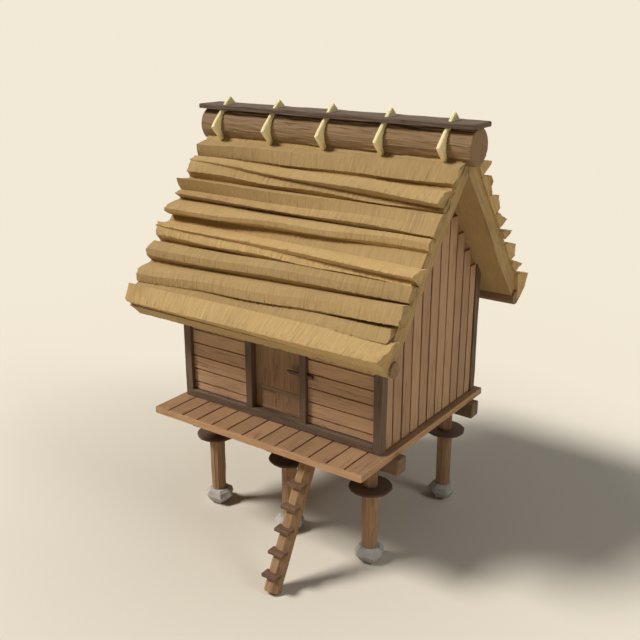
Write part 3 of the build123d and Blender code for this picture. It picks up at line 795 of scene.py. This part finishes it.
def fringe(courses, side, draw, each=130):
    """Loose stalks at the lips: thin three-sided prisms that lie down the slope and end past the lip.

    Each starts on its course between the crest and the lip, at a random place along the eaves, ends
    up to 12 mm past the lip, and leans a few degrees to one side.
    """
    clear = (0.0, 0.0, 0.0005)
    starts, ends = [], []
    for course in courses:
        station = draw.integers(0, len(course["crest"]), each)
        crest, lip = course["crest"][station], course["lip"][station]
        reach = (lip - crest) / np.linalg.norm(lip - crest, axis=1, keepdims=True)
        starts.append(lip + (crest - lip) * draw.uniform(0.25, 0.7, (each, 1)) + clear)
        ends.append(lip + reach * draw.uniform(0.002, 0.012, (each, 1)) + clear)
        ends[-1][:, 0] += draw.normal(0, 0.012, each)
    starts, ends = np.concatenate(starts), np.concatenate(ends)
    thick = draw.uniform(0.002, 0.0035, (len(starts), 1))
    ring = np.array([[-1.0, 0.0], [1.0, 0.0], [0.0, 0.8]])
    stalks = []
    for tips, scale in ((starts, 1.0), (ends, 0.7)):
        for x_shift, rise in ring:
            stalks.append(tips + np.column_stack([thick * x_shift, 0 * thick, thick * rise]) * scale)
    points = np.stack(stalks, axis=1)
    places = on_slope(points[..., 0], points[..., 1], points[..., 2], side)
    first = 6 * np.arange(len(starts))[:, None]
    walls = [[0, 1, 4, 3], [1, 2, 5, 4], [2, 0, 3, 5]]
    caps = [[0, 2, 1], [3, 4, 5]]
    if side > 0:
        walls, caps = [wall[::-1] for wall in walls], [cap[::-1] for cap in caps]
    faces = [face for shape in walls + caps for face in (first + np.array(shape)).tolist()]
    marks = {
        "straw": points.reshape(-1, 3),
        "cut": np.zeros(points.shape[0] * 6),
        "tone": np.repeat(draw.uniform(-1, 1, len(starts)), 6),
    }
    return places.reshape(-1, 3), faces, marks


# Each course, in millimetres down the slope and up from the roof: its outline at the left verge, then at
# the right verge. Neighbours overlap, and some run out from under the one above on one side only.
front_outlines = (
    ([(20, 240), (60, 300), (214, 428), (326, 301), (330, 240)],
     [(-40, 240), (-30, 262), (70, 345), (345, 353), (350, 240)]),
    ([(340, 240), (376, 380), (485, 413), (666, 398), (710, 240)],
     [(380, 230), (420, 255), (560, 290), (752, 345), (760, 230)]),
    ([(300, 230), (340, 270), (400, 350), (490, 418), (505, 240)],
     [(380, 240), (486, 432), (600, 470), (702, 498), (690, 240)]),
    ([(700, 240), (875, 519), (966, 330), (1080, 413), (1056, 240)],
     [(700, 240), (800, 385), (960, 380), (1095, 376), (1110, 240)]),
    ([(1040, 240), (1250, 430), (1384, 498), (1417, 455), (1354, 240)],
     [(1080, 240), (1130, 372), (1190, 368), (1268, 330), (1290, 240)]),
    ([(1480, 240), (1605, 504), (1700, 455), (1775, 414), (1805, 240)],
     [(1480, 230), (1560, 300), (1700, 380), (1811, 405), (1820, 240)]),
    ([(1400, 230), (1480, 290), (1560, 395), (1640, 486), (1650, 240)],
     [(1490, 240), (1600, 430), (1670, 480), (1731, 514), (1745, 240)]),
    ([(1820, 240), (1860, 380), (2032, 456), (2115, 399), (2128, 240)],
     [(1740, 240), (1811, 425), (1900, 400), (2001, 367), (2010, 240)]),
    ([(2120, 240), (2351, 425), (2423, 413), (2510, 340), (2515, 240)],
     [(1990, 240), (2089, 458), (2200, 440), (2328, 402), (2300, 240)]),
    ([(2400, 230), (2450, 300), (2540, 330), (2600, 340), (2610, 230)],
     [(2290, 240), (2380, 355), (2480, 362), (2570, 360), (2520, 240)]),
    ([(2540, 240), (2619, 494), (2740, 450), (2865, 394), (2850, 240)],
     [(2480, 240), (2540, 320), (2705, 420), (2884, 533), (2893, 240)]),
)
rear_outlines = (
    ([(90, 240), (150, 350), (250, 440), (345, 400), (330, 240)],
     [(100, 240), (120, 369), (293, 532), (333, 478), (300, 240)]),
    ([(330, 240), (400, 360), (560, 450), (690, 400), (700, 240)],
     [(320, 240), (335, 298), (532, 480), (716, 334), (710, 240)]),
    ([(690, 240), (800, 400), (950, 440), (1080, 420), (1060, 240)],
     [(700, 240), (718, 310), (927, 496), (1118, 416), (1090, 240)]),
    ([(1080, 240), (1180, 390), (1320, 470), (1440, 430), (1430, 240)],
     [(1090, 240), (1130, 330), (1300, 405), (1425, 462), (1366, 240)]),
    ([(1420, 240), (1540, 400), (1640, 460), (1740, 420), (1730, 240)],
     [(1430, 240), (1455, 286), (1684, 477), (1650, 400), (1602, 240)]),
    ([(1730, 240), (1850, 420), (1980, 470), (2100, 410), (2100, 240)],
     [(1740, 240), (1786, 323), (2025, 488), (2168, 376), (2160, 240)]),
    ([(2110, 240), (2250, 400), (2380, 480), (2480, 440), (2460, 240)],
     [(2170, 240), (2190, 297), (2517, 491), (2470, 390), (2415, 240)]),
    ([(2450, 240), (2580, 440), (2780, 500), (2878, 220), (2895, 40)],
     [(2480, 240), (2522, 320), (2806, 549), (2878, 200), (2895, 40)]),
)
verge = 2.15
bed_thickness = 275
ridge_lift = bed_thickness / 1000 * slope_sin / slope_cos
# The bed under the courses runs up to the ridge. The front one is a little shorter at its right foot.
bed_left = [(0, 0), (-1000 * ridge_lift, bed_thickness), (2885, bed_thickness), (2900, 0)]
bed_right = {-1: bed_left[:2] + [(2880, bed_thickness), (2893, 0)], 1: bed_left}
# The last course but one at the front stops short of the right verge, and the last one on each slope is
# trimmed nearly straight along the eaves.
short_end = front_outlines[-2][1]
shortfall = 0.03
trimmed_wander, free_wander = 0.003, 0.012
front_tones = (-1.0, -0.4, -0.4, -0.6, -0.3, 0.6, 0.6, -1.0, -0.6, -0.9, 0.2)
rear_tones = (0.6, 0.1, 0.8, 0.5, 0.0, 0.9, 0.3, 0.8)
for name, side, outlines, tones in (
    ("thatch_front", -1, front_outlines, front_tones),
    ("thatch_rear", 1, rear_outlines, rear_tones),
):
    draw = np.random.default_rng(151 + side)
    bed = thatch_course(bed_left, bed_right[side], -verge - 0.05, verge, side, draw, -0.5, wander=0.0)
    courses = [bed]
    for (left, right), tone in zip(outlines, tones):
        ends = (-verge - draw.uniform(0.015, 0.065), verge + draw.uniform(0.015, 0.065))
        if right is short_end:
            ends = (ends[0], verge - shortfall)
        wander = trimmed_wander if left is outlines[-1][0] else free_wander
        courses.append(thatch_course(left, right, *ends, side, draw, tone, wander))
    slope = laid(f"straw_{name}", courses, straw_finish)
    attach(slope, "granary")
    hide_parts(name)
    points, faces, marks = fringe(courses[1:], side, draw)
    loose = new_piece(f"loose_straw_{name}", points, faces, straw_finish, marks)
    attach(loose, "granary")

# ---- Ridge log -----------------------------------------------------------------------------------
# A heavy pine log, barked and roughly dressed, lies along the ridge and holds the heads of both
# slopes down. Its top is planed flat to seat the plank above it.

log_wood = wood("barked ridge log", shade(147, 118, 83), shade(124, 98, 68), 0.15, 0.2, 0.15)
low, high = np.array(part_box("ridge_log"))
log_radius = (high - low)[1] / 2
log_z = low[2] + log_radius
draw = np.random.default_rng(161)
log = timber(
    regular(16, log_radius * 0.985), (low[0], middle_y, log_z), Y_AXIS, Z_AXIS, (high - low)[0], draw,
    chamfer=0.012, relief=0.004, spacing=0.22, pith=(0.02, -0.03), tone=0.0,
)
log["rings"][..., 2] = np.minimum(log["rings"][..., 2], high[2])
ridge_log = joined("barked_ridge_log", [log], log_wood)
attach(ridge_log, "granary")
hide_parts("ridge_log")

# ---- Cap plank -----------------------------------------------------------------------------------
# One thick plank, split from a broad trunk and gone dark with age, sheds the rain off the log. It runs
# the whole length of the ridge, and only the rope ties hold it.

cap_wood = wood("age-dark cap plank", shade(103, 85, 70), shade(75, 60, 49), 0.2, 0.7, 0.35)
draw = np.random.default_rng(171)
plank = square(*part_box("ridge_cap"), 0, draw, chamfer=0.008, relief=0.003, spacing=0.25, tone=0.0)
cap_plank = joined("split_cap_plank", [plank], cap_wood)
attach(cap_plank, "granary")
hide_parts("ridge_cap")

# ---- Rope ties -----------------------------------------------------------------------------------
# Five ties of twisted straw rope hold log and plank down to the thatch. Each is packed out and drawn
# tight over the log, so that it stands in a point to each side and in one above the plank.


def rope_tie(middle_x, width, inner, reach, foot_angle, log_z, draw, strands=3):
    """A tie round the log: each section is a slab from the log out to a square set on its corner.

    The square's corners are reach from the log's axis, so at angle a the outer edge is at
    reach / (|sin a| + |cos a|), with each corner rounded a little. The outer edge is a half circle of
    strands, whose twist shows as ribs 22 mm apart, and the flanks have slanting ribs 30 mm apart.
    """
    count, across, deep = 300, 6 * strands + 1, 7
    rib, rib_pitch, flank_pitch = 0.0018, 0.022, 0.03
    angle = np.linspace(-foot_angle, math.pi + foot_angle, count)[:, None]
    outer = reach / (np.abs(np.sin(angle)) ** 1.14 + np.abs(np.cos(angle)) ** 1.14)
    travel = np.cumsum(np.hypot(np.gradient(outer[:, 0]), outer[:, 0] * np.gradient(angle[:, 0])))[:, None]
    spread = np.linspace(-1, 1, across)[None]
    half = width / 2
    round_strand = np.abs(np.sin(np.pi * strands * (spread + 1) / 2)) ** 0.6
    twist = np.sin(2 * np.pi * (travel / rib_pitch + strands * spread / 2))
    fall = half * (1 - np.sqrt(1 - spread**2))
    edge = outer - fall - 0.004 * (1 - round_strand) + rib * twist * round_strand - 0.003
    flank = np.linspace(0, 1, deep)[None, 1:-1]
    ribs = rib * np.sin(2 * np.pi * (travel / flank_pitch + 4 * flank)) - 0.002
    level = inner + (outer - half - 0.008 - inner) * flank
    radii = np.concatenate(
        [np.full((count, 1), inner), level, edge, level[:, ::-1], np.full((count, 1), inner)], axis=1
    )
    sides = np.concatenate(
        [np.full((count, 1), -half), -half - ribs, half * spread + 0 * angle, (half + ribs)[:, ::-1],
         np.full((count, 1), half)],
        axis=1,
    )
    sides = np.clip(sides, -half, half)
    rings = np.stack(
        [middle_x + sides, middle_y + radii * np.cos(angle), log_z + radii * np.sin(angle)], axis=-1
    )
    marks = np.stack([sides + radii, travel + draw.uniform(0, 9) + 0 * radii, radii], axis=-1)
    tones = np.full(radii.shape, draw.uniform(-0.1, 0.3))
    return {"rings": rings, "straw": marks, "cut": np.zeros(radii.shape), "tone": tones}


rope_finish = straw("straw rope", shade(255, 242, 190), shade(255, 234, 176), 0.05)
tie_width = 0.06
tie_reach = 0.43
tie_foot_depth = 0.279
foot_angle = math.atan2(tie_foot_depth, tie_reach - tie_foot_depth)
low, high = np.array(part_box("ridge_ties"))
draw = np.random.default_rng(181)
ties = [
    rope_tie(x, tie_width, log_radius - 0.012, tie_reach, foot_angle, log_z, draw)
    for x in np.linspace(low[0] + tie_width / 2, high[0] - tie_width / 2, 5)
]
tie_set = laid("twisted_rope_ties", ties, rope_finish)
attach(tie_set, "granary")
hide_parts("ridge_ties")

# ---- Ladder --------------------------------------------------------------------------------------
# One stout pole leans on the deck's edge, and its heel is dressed flat to stand. Five short treads of
# dark oak are let into notches in its front and pegged.

tread_wood = wood("dark oak tread", shade(118, 90, 68), shade(90, 67, 50), 0.25, 0.5, 0.4)
ladder_wood = wood("ladder pole", shade(165, 129, 94), shade(136, 103, 72), 0.2, 0.35, 0.25)
ladder_slope = math.radians(62.25)
ladder_flats = 0.1125
ladder_foot_y = middle_y - 2.5465
lean = np.array([0.0, math.cos(ladder_slope), math.sin(ladder_slope)])
face = np.cross(lean, X_AXIS)
low, high = np.array(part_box("ladder_pole"))
start = 0.02
origin = np.array([(low + high)[0] / 2, ladder_foot_y, 0.0]) + start * lean
draw = np.random.default_rng(191)
pole = timber(
    regular(8, ladder_flats * 0.99), origin, X_AXIS, face, high[2] / lean[2] - start, draw,
    chamfer=0.004, relief=0.002, spacing=0.18, pith=(0.01, 0.01),
    end_cut=(0.0, lean[1] / lean[2]), tone=0.0,
)
pole["rings"][..., 2] = np.maximum(pole["rings"][..., 2], 0.0)
ladder = joined("barked_ladder_pole", [pole], ladder_wood)
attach(ladder, "granary")
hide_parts("ladder_pole")

low, high = np.array(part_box("ladder_treads"))
tread_thickness = 0.052
tread_pitch = 0.28
tread_nose, tread_back = 0.212, 0.070
treads = []
for number in range(1, 6):
    level = number * tread_pitch
    axis_y = ladder_foot_y + level * lean[1] / lean[2]
    treads.append(
        square((low[0], axis_y - tread_nose, level - tread_thickness / 2),
               (high[0], axis_y - tread_back, level + tread_thickness / 2), 0, draw,
               chamfer=0.007, relief=0.0015, spacing=0.06)
    )
tread_set = joined("pegged_ladder_treads", treads, tread_wood)
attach(tread_set, "granary")
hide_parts("ladder_treads")

# ---- Door leaf -----------------------------------------------------------------------------------
# A framed leaf of dark oak. Upright boards fill it above and below the middle rail, which has gone grey.
# Its heel is rounded and has a pin above and below, which turn in the lintel and the sill.

rail_oak = wood("grey door rail", shade(142, 116, 92), shade(112, 90, 70), 0.2, 0.4, 0.3)
door_oak = wood("dark door oak", shade(172, 134, 99), shade(135, 103, 74), 0.2, 0.5, 0.35)
low, high = np.array(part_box("door_leaf"))
pin_length = 0.04
heel_radius = 0.0225
pin_radius = 0.018
pivot = np.array([low[0] + heel_radius, low[1] + heel_radius])
foot_z, head_z = low[2] + pin_length, high[2] - pin_length
stile = 0.08
foot_rail, head_rail = 0.04, 0.08
hinge_play, latch_play = 0.0025, 0.025
rail_z = (foot_z + 0.272, foot_z + 0.352)
panels = ((foot_z + foot_rail, rail_z[0]), (rail_z[1], head_z - head_rail))
panel_x = (pivot[0] + hinge_play + stile, high[0] - latch_play - stile)
boards_across = 4
seam = 0.001
recess = 0.012
draw = np.random.default_rng(201)
cuts = {"chamfer": 0.004, "relief": 0.0004}
leaf = [
    square((pivot[0], low[1], foot_z), (panel_x[0], high[1], head_z), 2, draw, **cuts),
    square((panel_x[1], low[1], foot_z), (high[0], high[1], head_z), 2, draw, **cuts),
    timber(regular(16, heel_radius * 0.98), (*pivot, foot_z), X_AXIS, Y_AXIS, head_z - foot_z, draw,
           chamfer=0.001, relief=0.0, tone=0.0),
]
for bottom, top in ((foot_z, panels[0][0]), (panels[1][1], head_z)):
    leaf.append(square((panel_x[0], low[1], bottom), (panel_x[1], high[1], top), 0, draw, **cuts))
rail_proud = 0.0015
rail = square((pivot[0] + 0.03, low[1] - rail_proud, rail_z[0]),
              (high[0] - 0.006, high[1] - 0.004, rail_z[1]), 0, draw, chamfer=0.003, relief=0.0)
for bottom, top in panels:
    seams = np.linspace(*panel_x, boards_across + 1)
    for left, right in zip(seams[:-1], seams[1:]):
        leaf.append(
            square((left + seam / 2, low[1] + recess, bottom), (right - seam / 2, high[1] - 0.002, top), 2,
                   draw, chamfer=0.0015, relief=0.0002, tone=draw.uniform(-0.3, 0.3))
        )
for bottom, top in ((low[2], foot_z), (head_z, high[2])):
    leaf.append(
        timber(regular(16, pin_radius * 0.98), (*pivot, bottom), X_AXIS, Y_AXIS, top - bottom, draw,
               chamfer=0.001, relief=0.0, tone=0.0)
    )
door = joined("boarded_door", leaf, door_oak)
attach(door, "door")
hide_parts("door_leaf")
middle_rail = joined("door_middle_rail", [rail], rail_oak)
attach(middle_rail, "door")

# ---- Door bolt -----------------------------------------------------------------------------------
# A hewn oak bar slides through the mortise in the latch post and over the leaf. Its left end is whittled
# from below to a blunt point, and its right end is rounded to a hand grip. The bar's colour runs from dark
# at its left end to light at the grip, a painted shade.

bolt_wood = wood("hand-worn bolt", shade(98, 76, 58), shade(69, 52, 40), 0.25, 0.5, 0.4, 0.6)
draw = np.random.default_rng(211)
grip_x = bolt_high[0] - 0.02
point_length, point_share = 0.06, 0.45
grip_length, grip_share = 0.025, 0.55
bolt = square(bolt_low, (grip_x, *bolt_high[1:]), 0, draw, chamfer=0.005, relief=0.0003, spacing=0.03)
x, y, z = np.moveaxis(bolt["rings"], -1, 0)
point = np.clip(point_share + (1 - point_share) * (x - bolt_low[0]) / point_length, point_share, 1.0)
to_end = 1 - np.clip((grip_x - x) / grip_length, 0.0, 1.0)
grip = np.sqrt(1 - grip_share * to_end**2)
middle = (bolt_low[1] + bolt_high[1]) / 2
y[:] = middle + (y - middle) * point * grip
z[:] = bolt_low[2] + (bolt_high[2] - (bolt_high[2] - z) * point - bolt_low[2]) * grip
# Painted shade: the bar darkens towards its left end.
bolt["tone"] = np.interp(x, (bolt_low[0], grip_x), (-1.0, 1.0))
bar = joined("hewn_bolt", [bolt], bolt_wood)
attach(bar, "bolt")
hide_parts("door_bolt")

# ---- Floor ---------------------------------------------------------------------------------------
# A pale floor, wide enough to run out of sight on every side. Its colour darkens from 7.5 m in to 2.5 m
# from the middle, a painted shade around the object. Far from the object it shows the backdrop's colour to
# the camera, so that there is no horizon.

backdrop = shade(242, 232, 213)
floor_finish, tree, shader = new_finish("pale floor", 0.95)
shader.inputs["Specular IOR Level"].default_value = 0.0
place = add_node(tree, "ShaderNodeTexCoord").outputs["Object"]
far = add_node(tree, "ShaderNodeVectorMath", {0: place}, operation="LENGTH").outputs["Value"]
# Painted shade: the floor is darker near the object and paler far out.
floor_painted_shade = blend_of(tree, span_of(tree, far, 2.5, 7.5), shade(219, 211, 195), shade(241, 232, 215))
tree.links.new(floor_painted_shade, shader.inputs["Base Color"])
path = add_node(tree, "ShaderNodeLightPath").outputs
seen = sum_of(tree, "MAXIMUM", path["Is Camera Ray"], path["Is Glossy Ray"])
seen = sum_of(tree, "MAXIMUM", seen, path["Is Transmission Ray"])
fade = sum_of(tree, "MULTIPLY", span_of(tree, far, 5.0, 15.0), seen)
glow = add_node(tree, "ShaderNodeEmission", {"Color": backdrop, "Strength": 1.0})
mixed = add_node(tree, "ShaderNodeMixShader", {0: fade, 1: shader.outputs[0], 2: glow.outputs[0]})
tree.links.new(mixed.outputs[0], tree.nodes["Material Output"].inputs["Surface"])
floor_reach = 60.0
corners = floor_reach * np.array([(-1, -1, 0), (1, -1, 0), (1, 1, 0), (-1, 1, 0)])
new_piece("floor", corners, [[0, 1, 2, 3]], floor_finish)

# ---- Light ---------------------------------------------------------------------------------------
# One soft warm lamp shines from the upper left. A wide pale one from high up behind and a narrower one
# from the right fill its shadows, under a faint sky.

for name, energy, spread, colour, travel in (
    ("key", 3.2, 17, (1.0, 0.98, 0.94), (0.655, 0.605, -1.0)),
    ("fill", 0.4, 70, (0.97, 0.99, 1.0), (-0.25, -0.36, -1.0)),
    ("side", 0.5, 20, (0.97, 0.99, 1.0), (-1.0, 0.0, -0.8)),
):
    sun = bpy.data.lights.new(name, "SUN")
    sun.energy = energy
    sun.angle = math.radians(spread)
    sun.color = colour
    lamp = bpy.data.objects.new(name, sun)
    tilt = math.atan2(math.hypot(travel[0], travel[1]), -travel[2])
    lamp.rotation_euler = (tilt, 0.0, math.atan2(travel[1], travel[0]) - math.pi / 2)
    bpy.context.scene.collection.objects.link(lamp)

world = bpy.data.worlds.new("sky")
world.use_nodes = True
bpy.context.scene.world = world
tree = world.node_tree
path = add_node(tree, "ShaderNodeLightPath").outputs
seen = sum_of(tree, "MAXIMUM", path["Is Camera Ray"], path["Is Glossy Ray"])
seen = sum_of(tree, "MAXIMUM", seen, path["Is Transmission Ray"])
fill = add_node(tree, "ShaderNodeBackground", {"Color": (0.97, 0.99, 1.0, 1.0), "Strength": 0.02})
shown = add_node(tree, "ShaderNodeBackground", {"Color": backdrop, "Strength": 1.0})
mixed = add_node(tree, "ShaderNodeMixShader", {0: seen, 1: fill.outputs[0], 2: shown.outputs[0]})
tree.links.new(mixed.outputs[0], tree.nodes["World Output"].inputs["Surface"])

# ---- Camera --------------------------------------------------------------------------------------
# A normal lens looks from the front right and from above the eaves, tipped down so far that the whole
# granary fits into the frame.

lens = bpy.data.cameras.new("camera")
lens.lens = 50
lens.sensor_width = 36
lens.clip_end = 300
camera = bpy.data.objects.new("camera", lens)
camera.location = (7.271, -10.3064, 7.527)
camera.rotation_euler = (math.radians(70.825), 0.0, math.radians(35.43))
bpy.context.scene.collection.objects.link(camera)
bpy.context.scene.camera = camera
bpy.context.scene.view_settings.view_transform = "Standard"
